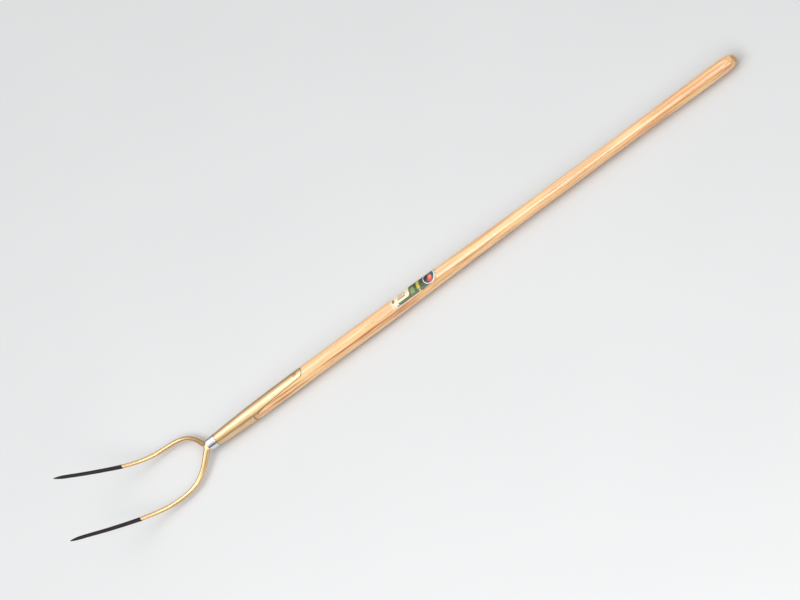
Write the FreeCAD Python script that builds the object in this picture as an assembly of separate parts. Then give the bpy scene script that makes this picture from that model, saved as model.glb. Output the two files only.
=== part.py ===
import FreeCAD, Part
import os, math

os.makedirs("parts", exist_ok=True)
V = FreeCAD.Vector

# Two-tine hay fork with a strapped socket.
# Frame: +X along the handle towards the points, +Y to the left, +Z up on the
# hollow (dished) side.  Origin under the middle of the fork, at its lowest level.
# "xi" is the distance behind the neck of the fork head, measured along the handle.

# ---- driving dimensions (mm) -------------------------------------------------
NECK_TO_BUTT = 1378.0      # neck of the head to the end of the handle
TIP_REACH = 296.6          # neck to the furthest point of the tines
STRAP_TOP_R = 18.4         # outer radius of the straps at their free ends
HANDLE_R = 17.8            # plain part of the handle
NOSE_XI = 28.4             # end of the wood inside the socket
WALL = 1.4                 # socket sheet
GAP = 0.3                  # clearance between fitted pieces

RING_XI0, RING_XI1 = 6.4, 27.4
RING_R0, RING_R1 = 13.05, 13.65
RING_BORE = 11.3
BOLSTER_R = 11.0

NOTCH_XI = 123.6           # bottom of the side notches between the straps
STRAP_END_XI = 266.0       # free ends of the straps
RIVET_XI = 249.0
RIVET_R = 2.5
RIVET_HEAD_R = 4.1
RIVET_HEAD_H = 1.2

TANG_XI1 = 140.0
TANG_A0, TANG_A1 = 5.2, 2.4   # half sides of the square tang

LABEL_XI0, LABEL_XI1 = 502.0, 620.0
LABEL_HALF_ARC = 16.2
LABEL_OUT = 0.10              # printed face above the wood
LABEL_IN = 0.15               # back of the film below the wood surface

X0 = (NECK_TO_BUTT - TIP_REACH) / 2.0    # neck position along X
ZA = STRAP_TOP_R                         # height of the handle axis


def xx(xi):
    return X0 - xi


# ---- profiles along the handle: (xi, radius) ---------------------------------
SOCKET_OUT = [(27.8, 13.25), (52.0, 14.45), (78.0, 15.6), (104.0, 16.55),
              (130.0, 17.2), (160.0, 17.65), (200.0, 18.05), (235.0, 18.3),
              (272.0, STRAP_TOP_R)]
WOOD_TAPER = [(450.0, HANDLE_R), (520.0, 17.35), (600.0, 16.6), (680.0, 15.75),
              (760.0, 14.95), (850.0, 14.3), (940.0, 13.85), (1030.0, 13.55),
              (1100.0, 13.6), (1160.0, 13.95), (1220.0, 14.6), (1270.0, 15.1),
              (1310.0, 15.15), (1345.0, 14.7), (1362.0, 13.95)]


def lerp(tab, xi):
    if xi <= tab[0][0]:
        return tab[0][1]
    for (a, ra), (b, rb) in zip(tab, tab[1:]):
        if xi <= b:
            return ra + (rb - ra) * (xi - a) / (b - a)
    return tab[-1][1]


def spline_edge(pts):
    c = Part.BSplineCurve()
    c.interpolate([V(*p) for p in pts])
    return c.toShape()


def line(a, b):
    return Part.makeLine(V(*a), V(*b))


def turn(edges):
    """Closed half profile in the XZ plane, turned about the handle axis."""
    w = Part.Wire(Part.__sortEdges__(edges))
    f = Part.Face(w)
    return f.revolve(V(0, 0, ZA), V(1, 0, 0), 360)


def solid_of(s):
    return s.Solids[0] if len(s.Solids) == 1 else s


# ---- outline of the straps seen from above -----------------------------------
# half width of the strap against xi
STRAP_HALF = [(134.6, 14.45), (147.0, 13.95), (155.0, 13.4), (163.0, 12.9), (180.0, 12.4),
              (200.0, 11.8), (222.0, 10.95), (245.0, 10.25), (256.0, 9.9)]


def strap_outline(g):
    """Plan outline of the socket grown by g; extruded through the handle."""
    e = []
    big = 30.0
    nb = NOTCH_XI + g
    y0 = STRAP_HALF[0][1] - 0.55 + g
    # left side points, from the notch corner to the rounded end
    side = [(xx(nb + 11.0), y0 + 0.55)]
    for xi, h in STRAP_HALF[1:]:
        side.append((xx(xi), h + g))
    # rounded notch corner: from the flat notch bottom to the strap edge
    corner = [(xx(nb), y0 + 7.5), (xx(nb + 1.0), y0 + 3.9), (xx(nb + 4.2), y0 + 1.6),
              (xx(nb + 11.0), y0 + 0.55)]
    endp = STRAP_END_XI + g
    cap = [(xx(256.0), 9.9 + g), (xx(260.6), 8.6 + g), (xx(263.8), 5.85 + g * 0.7),
           (xx(endp - 0.45), 3.0), (xx(endp), 0.0),
           (xx(endp - 0.45), -3.0), (xx(263.8), -5.85 - g * 0.7), (xx(260.6), -8.6 - g),
           (xx(256.0), -9.9 - g)]
    z0 = -40.0

    def P(q):
        return (q[0], q[1], z0)

    def M(q):
        return (q[0], -q[1], z0)

    e.append(line((xx(0), -big, z0), (xx(0), big, z0)))
    e.append(line((xx(0), big, z0), (xx(nb), big, z0)))
    e.append(line((xx(nb), big, z0), P(corner[0])))
    e.append(spline_edge([P(q) for q in corner]))
    e.append(spline_edge([P(q) for q in side]))
    e.append(spline_edge([P(q) for q in cap]))
    e.append(spline_edge([M(q) for q in side]))
    e.append(spline_edge([M(q) for q in corner]))
    e.append(line(M(corner[0]), (xx(nb), -big, z0)))
    e.append(line((xx(nb), -big, z0), (xx(0), -big, z0)))
    w = Part.Wire(Part.__sortEdges__(e))
    return Part.Face(w).extrude(V(0, 0, 140))


# ---- strapped socket ----------------------------------------------------------
def socket_wall():
    out = [(xx(xi), 0, ZA + r) for xi, r in SOCKET_OUT]
    inn = [(xx(xi), 0, ZA + r - WALL) for xi, r in SOCKET_OUT]
    return turn([spline_edge(out), spline_edge(inn), line(out[0], inn[0]), line(out[-1], inn[-1])])


def strapped_socket():
    s = socket_wall().common(strap_outline(0.0))
    hole = Part.makeCylinder(RIVET_R + GAP, 80, V(xx(RIVET_XI), 0, ZA - 40), V(0, 0, 1))
    s = s.cut(hole)
    # closed seam of the rolled sheet, a fine groove along the right-hand side
    c = Part.BSplineCurve()
    c.interpolate([V(xx(xi), -r + 0.45, ZA) for xi, r in SOCKET_OUT if xi < 150.0])
    a, b = c.value(c.FirstParameter), c.value(c.LastParameter)
    far = [V(b.x, -30, ZA), V(a.x, -30, ZA)]
    w = Part.Wire([c.toShape(), Part.makeLine(b, far[0]), Part.makeLine(far[0], far[1]), Part.makeLine(far[1], a)])
    seam = Part.Face(w).extrude(V(0, 0, 0.5))
    seam.translate(V(0, 0, -0.25))
    return solid_of(s.cut(seam))


# ---- ash handle -----------------------------------------------------------------
def ash_handle():
    # wood surface: just under the strap faces at the front, then plain, then tapered
    nose = [(xi, r - 0.35) for xi, r in SOCKET_OUT if xi >= 52.0]
    nose[-1] = (272.0, HANDLE_R + 0.02)
    front = [(NOSE_XI, 12.9)] + nose
    pf = [(xx(xi), 0, ZA + r) for xi, r in front]
    plain_a = (xx(276.0), 0, ZA + HANDLE_R)
    pb = [(xx(xi), 0, ZA + r) for xi, r in WOOD_TAPER]
    e = [spline_edge(pf[:-1] + [plain_a])]
    e.append(line(plain_a, pb[0]))
    # taper meets the plain part without a crease
    c = Part.BSplineCurve()
    c.interpolate([V(*p) for p in pb], InitialTangent=V(-1, 0, 0), FinalTangent=V(-1, 0, -0.1))
    e.append(c.toShape())
    # rounded butt with a flat end-grain face
    xe = xx(NECK_TO_BUTT)
    rf = 6.6
    b = Part.BSplineCurve()
    b.interpolate([V(*pb[-1]), V(xe + 9.0, 0, ZA + 12.75), V(xe + 3.6, 0, ZA + 10.6), V(xe + 0.9, 0, ZA + 8.5),
                   V(xe, 0, ZA + rf)],
                  InitialTangent=V(-1, 0, -0.1), FinalTangent=V(-0.25, 0, -1))
    e.append(b.toShape())
    e.append(line((xe, 0, ZA + rf), (xe, 0, ZA)))
    e.append(line((xe, 0, ZA), (xx(NOSE_XI), 0, ZA)))
    e.append(line((xx(NOSE_XI), 0, ZA), pf[0]))
    wood = turn(e)
    # seat for the socket and its straps
    inn = [(xx(xi), 0, ZA + r - WALL - GAP) for xi, r in [(20.0, 12.9)] + SOCKET_OUT]
    hi = 40.0
    seat = turn([spline_edge(inn), line(inn[0], (inn[0][0], 0, ZA + hi)),
                 line((inn[0][0], 0, ZA + hi), (inn[-1][0], 0, ZA + hi)),
                 line((inn[-1][0], 0, ZA + hi), inn[-1])])
    wood = wood.cut(seat.common(strap_outline(GAP)))
    # tapered square bore for the tang
    wood = wood.cut(taper_square(NOSE_XI - 1.0, TANG_XI1 + 2.0, TANG_A0 + GAP, TANG_A1 + GAP))
    wood = wood.cut(Part.makeCylinder(RIVET_R + GAP, 80, V(xx(RIVET_XI), 0, ZA - 40), V(0, 0, 1)))
    # shallow seat that lets the label lie level with the wood
    wood = wood.cut(label_patch(-LABEL_IN - GAP, 1.5, 0.15))
    return solid_of(wood)


def taper_square(xi0, xi1, a0, a1):
    def sq(xi, a):
        p = [V(xx(xi), -a, ZA - a), V(xx(xi), a, ZA - a), V(xx(xi), a, ZA + a), V(xx(xi), -a, ZA + a)]
        return Part.makePolygon(p + [p[0]])
    return Part.makeLoft([sq(xi0, a0), sq(xi1, a1)], True, True)


# ---- ferrule ring ----------------------------------------------------------------
def ferrule_ring():
    c = 0.7
    p = [(xx(RING_XI0), 0, ZA + RING_BORE), (xx(RING_XI0), 0, ZA + RING_R0 - c),
         (xx(RING_XI0 + c), 0, ZA + RING_R0), (xx(RING_XI1 - 0.4), 0, ZA + RING_R1),
         (xx(RING_XI1), 0, ZA + RING_R1 - 0.4), (xx(RING_XI1), 0, ZA + RING_BORE)]
    e = [line(p[i], p[(i + 1) % 6]) for i in range(6)]
    return turn(e)


# ---- fork head --------------------------------------------------------------------
# centreline of the left tine: forward, sideways, up, all from the neck
TINE = [(-18.0, 0.0, 0.0), (-10.0, 0.1, 0.0), (-4.5, 1.2, -0.1), (-0.2, 4.0, -0.4),
        (3.6, 7.9, -0.9), (7.8, 13.0, -1.6), (16.3, 25.0, -3.3), (25.7, 36.4, -4.7),
        (36.6, 46.6, -5.8), (49.1, 54.8, -6.4), (63.1, 60.0, -6.7), (77.9, 62.8, -6.7),
        (92.8, 64.0, -6.3), (107.8, 64.4, -5.1), (122.6, 64.4, -2.7), (137.0, 64.5, 1.2),
        (151.1, 64.8, 6.3), (164.8, 65.3, 12.5), (178.0, 66.0, 19.6), (190.7, 66.9, 27.4),
        (203.1, 68.0, 35.7), (215.3, 69.1, 44.3), (227.4, 70.2, 53.2), (239.4, 71.3, 62.2),
        (251.2, 72.3, 71.4), (262.8, 73.4, 80.7), (274.3, 74.6, 90.0), (285.5, 75.9, 98.6),
        (296.0, 77.3, 106.2)]
# arc from the start of the centreline: half width across, half height, squareness
TINE_SIZE = [(0.0, 6.9, 6.3, 2.3), (16.0, 7.1, 6.45, 2.4), (30.0, 6.8, 6.3, 2.4),
             (46.0, 6.15, 5.95, 2.4), (64.0, 5.4, 5.4, 2.3), (90.0, 5.05, 5.1, 2.15),
             (120.0, 4.9, 4.95, 2.05), (160.0, 4.62, 4.65, 2.0), (200.0, 4.4, 4.4, 2.0),
             (236.0, 4.2, 4.2, 2.0), (270.0, 3.95, 3.95, 2.0), (310.0, 3.77, 3.77, 2.0),
             (345.0, 3.62, 3.62, 2.0), (354.0, 3.52, 3.6, 2.1), (362.0, 3.05, 3.3, 2.3),
             (369.0, 2.15, 2.4, 2.4), (374.5, 1.2, 1.35, 2.4), (377.6, 0.45, 0.5, 2.2)]


def tine():
    c = Part.BSplineCurve()
    c.interpolate([V(X0 + x, y, ZA + z) for x, y, z in TINE])
    L = c.length()

    def size(s):
        for a, b in zip(TINE_SIZE, TINE_SIZE[1:]):
            if s <= b[0]:
                k = (s - a[0]) / (b[0] - a[0])
                return [a[i] + (b[i] - a[i]) * k for i in (1, 2, 3)]
        return list(TINE_SIZE[-1][1:])
    stations = [0, 8, 16, 23, 30, 38, 46, 55, 64, 77, 90, 105, 120, 140, 160, 180, 200, 218,
                236, 253, 270, 290, 310, 328, 345, 354, 362, 369, 374.5]
    k = L / 377.6
    stations = [s * k for s in stations] + [L - 0.02]
    wires = []
    for s in stations:
        u = c.parameterAtDistance(s)
        p = c.value(u)
        t = c.tangent(u)[0]
        n1 = V(0, 0, 1) - t * t.z
        n1.normalize()
        n2 = t.cross(n1)
        a, b, n = size(s / k)
        pts = []
        for i in range(16):
            q = 2 * math.pi * (i + 0.5) / 16
            cq, sq = math.cos(q), math.sin(q)
            r = (abs(cq) ** n + abs(sq) ** n) ** (-1.0 / n)
            pts.append(p + n2 * (a * r * cq) + n1 * (b * r * sq))
        w = Part.BSplineCurve()
        w.interpolate(pts, PeriodicFlag=True)
        wires.append(Part.Wire([w.toShape()]))
    return Part.makeLoft(wires, True, False)


def fork_head():
    left = tine()
    right = left.mirror(V(0, 0, 0), V(0, 1, 0))
    hub = Part.makeSphere(7.9, V(X0 + 0.4, 0, ZA - 0.3))
    shank = Part.makeCylinder(7.9, 8.0, V(xx(7.6), 0, ZA - 0.0), V(1, 0, 0))
    c = 0.8
    p = [(xx(7.0), 0, ZA), (xx(7.0), 0, ZA + BOLSTER_R - c), (xx(7.0 + c), 0, ZA + BOLSTER_R),
         (xx(28.0), 0, ZA + BOLSTER_R), (xx(28.0), 0, ZA)]
    bolster = turn([line(p[i], p[(i + 1) % 5]) for i in range(5)])
    tang = taper_square(27.0, TANG_XI1, TANG_A0, TANG_A1)
    head = bolster.fuse(tang).fuse(shank).fuse(hub)
    head = head.fuse(left)
    head = head.fuse(right)
    return solid_of(head.removeSplitter())


# ---- rivet through both straps and the handle ---------------------------------------
def strap_rivet():
    rs = lerp(SOCKET_OUT, RIVET_XI)
    x = xx(RIVET_XI)
    under = ZA + rs + 0.12
    shank = Part.makeCylinder(RIVET_R, 2 * rs + 0.12 - 0.05 + 0.2, V(x, 0, ZA - rs + 0.05), V(0, 0, 1))
    # low domed head: part of a sphere on a thin rim
    rim = 0.3
    dome = RIVET_HEAD_H - rim
    rsph = (RIVET_HEAD_R ** 2 + dome ** 2) / (2 * dome)
    head = Part.makeCylinder(RIVET_HEAD_R, RIVET_HEAD_H, V(x, 0, under), V(0, 0, 1))
    ball = Part.makeSphere(rsph, V(x, 0, under + RIVET_HEAD_H - rsph))
    head = head.common(ball)
    r = shank.fuse(head).removeSplitter()
    # the peened end keeps a small bevel
    low = Part.makeCylinder(RIVET_R + 2, 0.35, V(x, 0, ZA - rs + 0.05), V(0, 0, 1))
    cone = Part.makeCone(RIVET_R - 0.35, RIVET_R, 0.35, V(x, 0, ZA - rs + 0.05), V(0, 0, 1))
    r = r.cut(low.cut(cone))
    return solid_of(r)


# ---- printed label --------------------------------------------------------------------
def label_patch(lo, hi, g):
    """Patch of shell around the handle, from lo to hi off the wood surface, grown by g."""
    c = Part.BSplineCurve()
    pb = [V(xx(xi), 0, ZA + r) for xi, r in WOOD_TAPER]
    c.interpolate(pb, InitialTangent=V(-1, 0, 0), FinalTangent=V(-1, 0, -0.075))
    tab = [(276.0, HANDLE_R)] + WOOD_TAPER

    def rad(xi):
        u = c.parameter(V(xx(xi), 0, ZA + lerp(tab, xi)))
        return c.value(u).z - ZA
    xs = [LABEL_XI0 - 6, 530.0, 560.0, 590.0, LABEL_XI1 + 6]
    inn = [(xx(xi), 0, ZA + rad(xi) + lo) for xi in xs]
    out = [(xx(xi), 0, ZA + rad(xi) + hi) for xi in xs]
    shell = turn([spline_edge(inn), spline_edge(out), line(inn[0], out[0]), line(inn[-1], out[-1])])
    rm = rad(560.0)

    def flat(xi, arc):
        return V(xx(xi), rm * math.sin(arc / rm), ZA)
    h = LABEL_HALF_ARC + g
    a0, a1 = LABEL_XI0 - g, LABEL_XI1 + g
    pts = []
    r0, r1 = 6.0, 13.5
    n = 7
    for i in range(n + 1):
        q = math.pi / 2 * i / n
        pts.append(flat(a0 + r0 - r0 * math.cos(q), h - r0 + r0 * math.sin(q)))
    for i in range(n + 1):
        q = math.pi / 2 * i / n
        pts.append(flat(a1 - r1 + r1 * math.sin(q), h - r1 + r1 * math.cos(q)))
    mir = [V(p.x, -p.y, p.z) for p in reversed(pts)]
    w = Part.makePolygon(pts + mir + [pts[0]])
    cutter = Part.Face(w).extrude(V(0, 0, 40))
    return shell.common(cutter)


def handle_label():
    return solid_of(label_patch(-LABEL_IN, LABEL_OUT, 0.0))


parts = {
    "ash_handle": ash_handle(),
    "fork_head": fork_head(),
    "ferrule_ring": ferrule_ring(),
    "strapped_socket": strapped_socket(),
    "strap_rivet": strap_rivet(),
    "handle_label": handle_label(),
}

for name, shape in parts.items():
    shape.exportStep("parts/" + name + ".step")
    b = shape.BoundBox
    print("%-16s solids %d valid %s vol %.1f  x %.1f..%.1f  y %.1f..%.1f  z %.1f..%.1f" % (
        name, len(shape.Solids), shape.isValid(), shape.Volume, b.XMin, b.XMax, b.YMin, b.YMax, b.ZMin, b.ZMax))
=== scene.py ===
import math

import bmesh
import bpy
import numpy as np
from mathutils import Matrix, Vector


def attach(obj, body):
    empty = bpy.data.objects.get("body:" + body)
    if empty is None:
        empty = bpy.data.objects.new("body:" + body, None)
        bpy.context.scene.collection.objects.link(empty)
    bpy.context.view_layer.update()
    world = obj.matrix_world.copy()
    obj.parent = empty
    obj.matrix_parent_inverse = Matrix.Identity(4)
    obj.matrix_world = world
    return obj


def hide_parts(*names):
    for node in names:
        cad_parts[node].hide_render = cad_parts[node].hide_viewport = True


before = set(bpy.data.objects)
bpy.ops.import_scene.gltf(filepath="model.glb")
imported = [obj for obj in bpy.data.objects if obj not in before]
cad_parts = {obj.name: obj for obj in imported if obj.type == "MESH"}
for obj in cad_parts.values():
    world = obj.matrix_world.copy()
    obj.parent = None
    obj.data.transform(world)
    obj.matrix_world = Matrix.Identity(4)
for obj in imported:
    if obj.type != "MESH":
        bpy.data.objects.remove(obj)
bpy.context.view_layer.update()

# =============================================================================
# Dimensions, the same as the CAD's, in millimetres.
# xi is the distance behind the neck of the head, along the handle.
# =============================================================================
X0 = (1378.0 - 296.6) / 2.0
ZA = 18.4
HANDLE_R = 17.8
WALL = 1.4
GAP = 0.3
RING_XI0, RING_XI1 = 6.4, 27.4
RING_R0, RING_R1, RING_BORE = 13.05, 13.65, 11.3
BOLSTER_R = 11.0
NOTCH_XI, STRAP_END_XI = 123.6, 266.0
RIVET_XI, RIVET_R, RIVET_HEAD_R, RIVET_HEAD_H = 249.0, 2.5, 4.1, 1.2
TANG_XI1, TANG_A0, TANG_A1 = 140.0, 5.2, 2.4
LABEL_XI0, LABEL_XI1, LABEL_HALF_ARC = 502.0, 620.0, 16.2
LABEL_R0, LABEL_R1 = 6.0, 13.5
LABEL_OUT, LABEL_IN = 0.10, 0.15

SOCKET_OUT = [(18.0, 12.8), (27.8, 13.25), (52.0, 14.45), (78.0, 15.6), (104.0, 16.55),
              (130.0, 17.2), (160.0, 17.65), (200.0, 18.05), (235.0, 18.3), (272.0, 18.4)]
WOOD = [(114.5, 16.48), (120.0, 16.62), (130.0, 16.85), (160.0, 17.3), (200.0, 17.7), (235.0, 17.93),
        (276.0, 17.8), (300.0, 17.8), (430.0, 17.8), (450.0, 17.78), (520.0, 17.35),
        (600.0, 16.6), (680.0, 15.75), (760.0, 14.95), (850.0, 14.3), (940.0, 13.85),
        (1030.0, 13.55), (1100.0, 13.6), (1160.0, 13.95), (1220.0, 14.6), (1270.0, 15.1),
        (1310.0, 15.15), (1345.0, 14.7), (1362.0, 13.95)]
STRAP_HALF = [(147.0, 13.95), (155.0, 13.4), (163.0, 12.9), (180.0, 12.4), (200.0, 11.8),
              (222.0, 10.95), (245.0, 10.25), (256.0, 9.9)]
TINE = [(-18.0, 0.0, 0.0), (-10.0, 0.1, 0.0), (-4.5, 1.2, -0.1), (-0.2, 4.0, -0.4),
        (3.6, 7.9, -0.9), (7.8, 13.0, -1.6), (16.3, 25.0, -3.3), (25.7, 36.4, -4.7),
        (36.6, 46.6, -5.8), (49.1, 54.8, -6.4), (63.1, 60.0, -6.7), (77.9, 62.8, -6.7),
        (92.8, 64.0, -6.3), (107.8, 64.4, -5.1), (122.6, 64.4, -2.7), (137.0, 64.5, 1.2),
        (151.1, 64.8, 6.3), (164.8, 65.3, 12.5), (178.0, 66.0, 19.6), (190.7, 66.9, 27.4),
        (203.1, 68.0, 35.7), (215.3, 69.1, 44.3), (227.4, 70.2, 53.2), (239.4, 71.3, 62.2),
        (251.2, 72.3, 71.4), (262.8, 73.4, 80.7), (274.3, 74.6, 90.0), (285.5, 75.9, 98.6),
        (296.0, 77.3, 106.2)]
TINE_SIZE = [(0.0, 6.9, 6.3, 2.3), (16.0, 7.1, 6.45, 2.4), (30.0, 6.8, 6.3, 2.4),
             (46.0, 6.15, 5.95, 2.4), (64.0, 5.4, 5.4, 2.3), (90.0, 5.05, 5.1, 2.15),
             (120.0, 4.9, 4.95, 2.05), (160.0, 4.62, 4.65, 2.0), (200.0, 4.4, 4.4, 2.0),
             (236.0, 4.2, 4.2, 2.0), (270.0, 3.95, 3.95, 2.0), (310.0, 3.77, 3.77, 2.0),
             (345.0, 3.62, 3.62, 2.0), (354.0, 3.52, 3.6, 2.1), (362.0, 3.05, 3.3, 2.3),
             (369.0, 2.15, 2.4, 2.4), (374.5, 1.2, 1.35, 2.4), (377.6, 0.45, 0.5, 2.2)]
# the black dip starts here on each tine, as row x
DIP_LEFT_X, DIP_RIGHT_X = 719.0, 726.0


def xx(xi):
    return X0 - xi


# =============================================================================
# Curves
# =============================================================================
def pchip(tab):
    """A smooth curve through a table that never overshoots it."""
    x = np.array([p[0] for p in tab], float)
    y = np.array([p[1] for p in tab], float)
    h, d = np.diff(x), np.diff(y) / np.diff(x)
    m = np.zeros_like(y)
    m[0], m[-1] = d[0], d[-1]
    for i in range(1, len(x) - 1):
        if d[i - 1] * d[i] > 0:
            w1, w2 = 2 * h[i] + h[i - 1], h[i] + 2 * h[i - 1]
            m[i] = (w1 + w2) / (w1 / d[i - 1] + w2 / d[i])

    def f(q):
        q = np.asarray(q, float)
        i = np.clip(np.searchsorted(x, q) - 1, 0, len(h) - 1)
        t = np.clip((q - x[i]) / h[i], 0, 1)
        return ((1 + 2 * t) * (1 - t) ** 2 * y[i] + t * (1 - t) ** 2 * h[i] * m[i]
                + t * t * (3 - 2 * t) * y[i + 1] - t * t * (1 - t) * h[i] * m[i + 1])
    return f


def spline(points):
    """A natural cubic spline through points, as position(arc), tangent(arc) and its length."""
    p = np.array(points, float)
    u = np.concatenate([[0], np.cumsum(np.linalg.norm(np.diff(p, axis=0), axis=1))])
    n, h = len(p), np.diff(u)
    a, b = np.eye(n), np.zeros_like(p)
    for i in range(1, n - 1):
        a[i, i - 1], a[i, i], a[i, i + 1] = h[i - 1], 2 * (h[i - 1] + h[i]), h[i]
        b[i] = 6 * ((p[i + 1] - p[i]) / h[i] - (p[i] - p[i - 1]) / h[i - 1])
    m = np.linalg.solve(a, b)

    def at(q):
        i = np.clip(np.searchsorted(u, q) - 1, 0, n - 2)
        r, s, hh = (u[i + 1] - q)[:, None], (q - u[i])[:, None], h[i][:, None]
        return (m[i] * r ** 3 / (6 * hh) + m[i + 1] * s ** 3 / (6 * hh)
                + (p[i] / hh - m[i] * hh / 6) * r + (p[i + 1] / hh - m[i + 1] * hh / 6) * s)
    fine = np.linspace(0, u[-1], 6001)
    pf = at(fine)
    arc = np.concatenate([[0], np.cumsum(np.linalg.norm(np.diff(pf, axis=0), axis=1))])

    def pos(s):
        return at(np.interp(s, arc, fine))

    def tan(s):
        s = np.asarray(s, float)
        v = pos(np.minimum(s + 0.05, arc[-1])) - pos(np.maximum(s - 0.05, 0))
        return v / np.linalg.norm(v, axis=1)[:, None]
    return pos, tan, arc[-1]


socket_r = pchip(SOCKET_OUT)
wood_r = pchip(WOOD)


# =============================================================================
# Meshes
# =============================================================================
def new_object(name, verts, faces, sharp=35.0):
    """verts in millimetres in the row frame."""
    me = bpy.data.meshes.new(name)
    me.from_pydata((np.asarray(verts, float) * 0.001).tolist(), [], [tuple(int(i) for i in f) for f in faces])
    me.validate()
    me.update()
    o = bpy.data.objects.new(name, me)
    bpy.context.scene.collection.objects.link(o)
    tidy(o, sharp)
    return o


def tidy(o, sharp=35.0):
    """Outward normals, smooth faces, sharp edges only where the surface turns by more than sharp degrees."""
    bm = bmesh.new()
    bm.from_mesh(o.data)
    bmesh.ops.remove_doubles(bm, verts=bm.verts, dist=2e-7)
    bmesh.ops.dissolve_degenerate(bm, dist=1e-7, edges=bm.edges)
    bmesh.ops.recalc_face_normals(bm, faces=bm.faces)
    bm.to_mesh(o.data)
    bm.free()
    o.data.shade_smooth()
    o.data.set_sharp_from_angle(angle=math.radians(sharp))
    o.data.update()


def bake(o):
    """Applies the object's modifiers."""
    dg = bpy.context.evaluated_depsgraph_get()
    me = bpy.data.meshes.new_from_object(o.evaluated_get(dg), depsgraph=dg)
    old = o.data
    o.modifiers.clear()
    o.data = me
    me.name = o.name
    bpy.data.meshes.remove(old)


def cut(o, *tools):
    for t in tools:
        m = o.modifiers.new("cut", "BOOLEAN")
        m.operation, m.solver, m.object = "DIFFERENCE", "EXACT", t
        bake(o)
        bpy.data.objects.remove(t)


def unfold(o):
    """Split the many-sided faces that a cut leaves, and drop slivers folded back on themselves."""
    bm = bmesh.new()
    bm.from_mesh(o.data)
    bmesh.ops.remove_doubles(bm, verts=bm.verts[:], dist=2e-7)
    bmesh.ops.triangulate(bm, faces=[p for p in bm.faces if len(p.verts) > 4
                                     or (len(p.verts) == 4 and not all(k.is_convex for k in p.loops))])
    bm.verts.index_update()
    for _ in range(6):
        same = {}
        for p in bm.faces:
            same.setdefault(tuple(sorted(v.index for v in p.verts)), []).append(p)
        gone = {p for k in same.values() if len(k) == 2 for p in k}
        for p in bm.faces:
            n = [len(e.link_faces) for e in p.edges]
            if min(n) == 1 and max(n) > 2:
                gone.add(p)
        if not gone:
            break
        bmesh.ops.delete(bm, geom=list(gone), context="FACES")
        bm.verts.index_update()
    bm.to_mesh(o.data)
    bm.free()


def bevel(o, width, segments=2, angle=40.0):
    m = o.modifiers.new("edge", "BEVEL")
    m.width, m.segments, m.limit_method, m.angle_limit = width * 0.001, segments, "ANGLE", math.radians(angle)
    m.harden_normals = False
    bake(o)


def lathe(name, profile, n=160, centre=None, sharp=35.0, closed=False):
    """profile: (xi, r) points, turned about the handle axis, or (z, r) about a vertical axis at centre.
    A point with r = 0 is a pole. closed joins the last point to the first."""
    q = np.arange(n) * 2 * math.pi / n
    verts, rows = [], []
    for a, r in profile:
        if r < 1e-9:
            rows.append([len(verts)])
            verts.append((xx(a), 0, ZA) if centre is None else (centre[0], centre[1], a))
        else:
            rows.append(list(range(len(verts), len(verts) + n)))
            for t in q:
                if centre is None:
                    verts.append((xx(a), r * math.sin(t), ZA + r * math.cos(t)))
                else:
                    verts.append((centre[0] + r * math.cos(t), centre[1] + r * math.sin(t), a))
    faces = []
    pairs = list(zip(rows, rows[1:])) + ([(rows[-1], rows[0])] if closed else [])
    for a, b in pairs:
        for i in range(n):
            j = (i + 1) % n
            if len(a) == 1:
                faces.append((a[0], b[i], b[j]))
            elif len(b) == 1:
                faces.append((a[i], b[0], a[j]))
            else:
                faces.append((a[i], b[i], b[j], a[j]))
    return new_object(name, verts, faces, sharp)


def thicken(outer, inner, faces):
    """A closed shell from an outer and an inner surface with the same faces."""
    n = len(outer)
    used = {}
    for f in faces:
        for a, b in zip(f, tuple(f[1:]) + (f[0],)):
            used[(a, b)] = True
    out = list(faces) + [tuple(i + n for i in reversed(f)) for f in faces]
    for (a, b) in used:
        if (b, a) not in used:
            out.append((b, a, a + n, b + n))
    return list(outer) + list(inner), out


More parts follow.
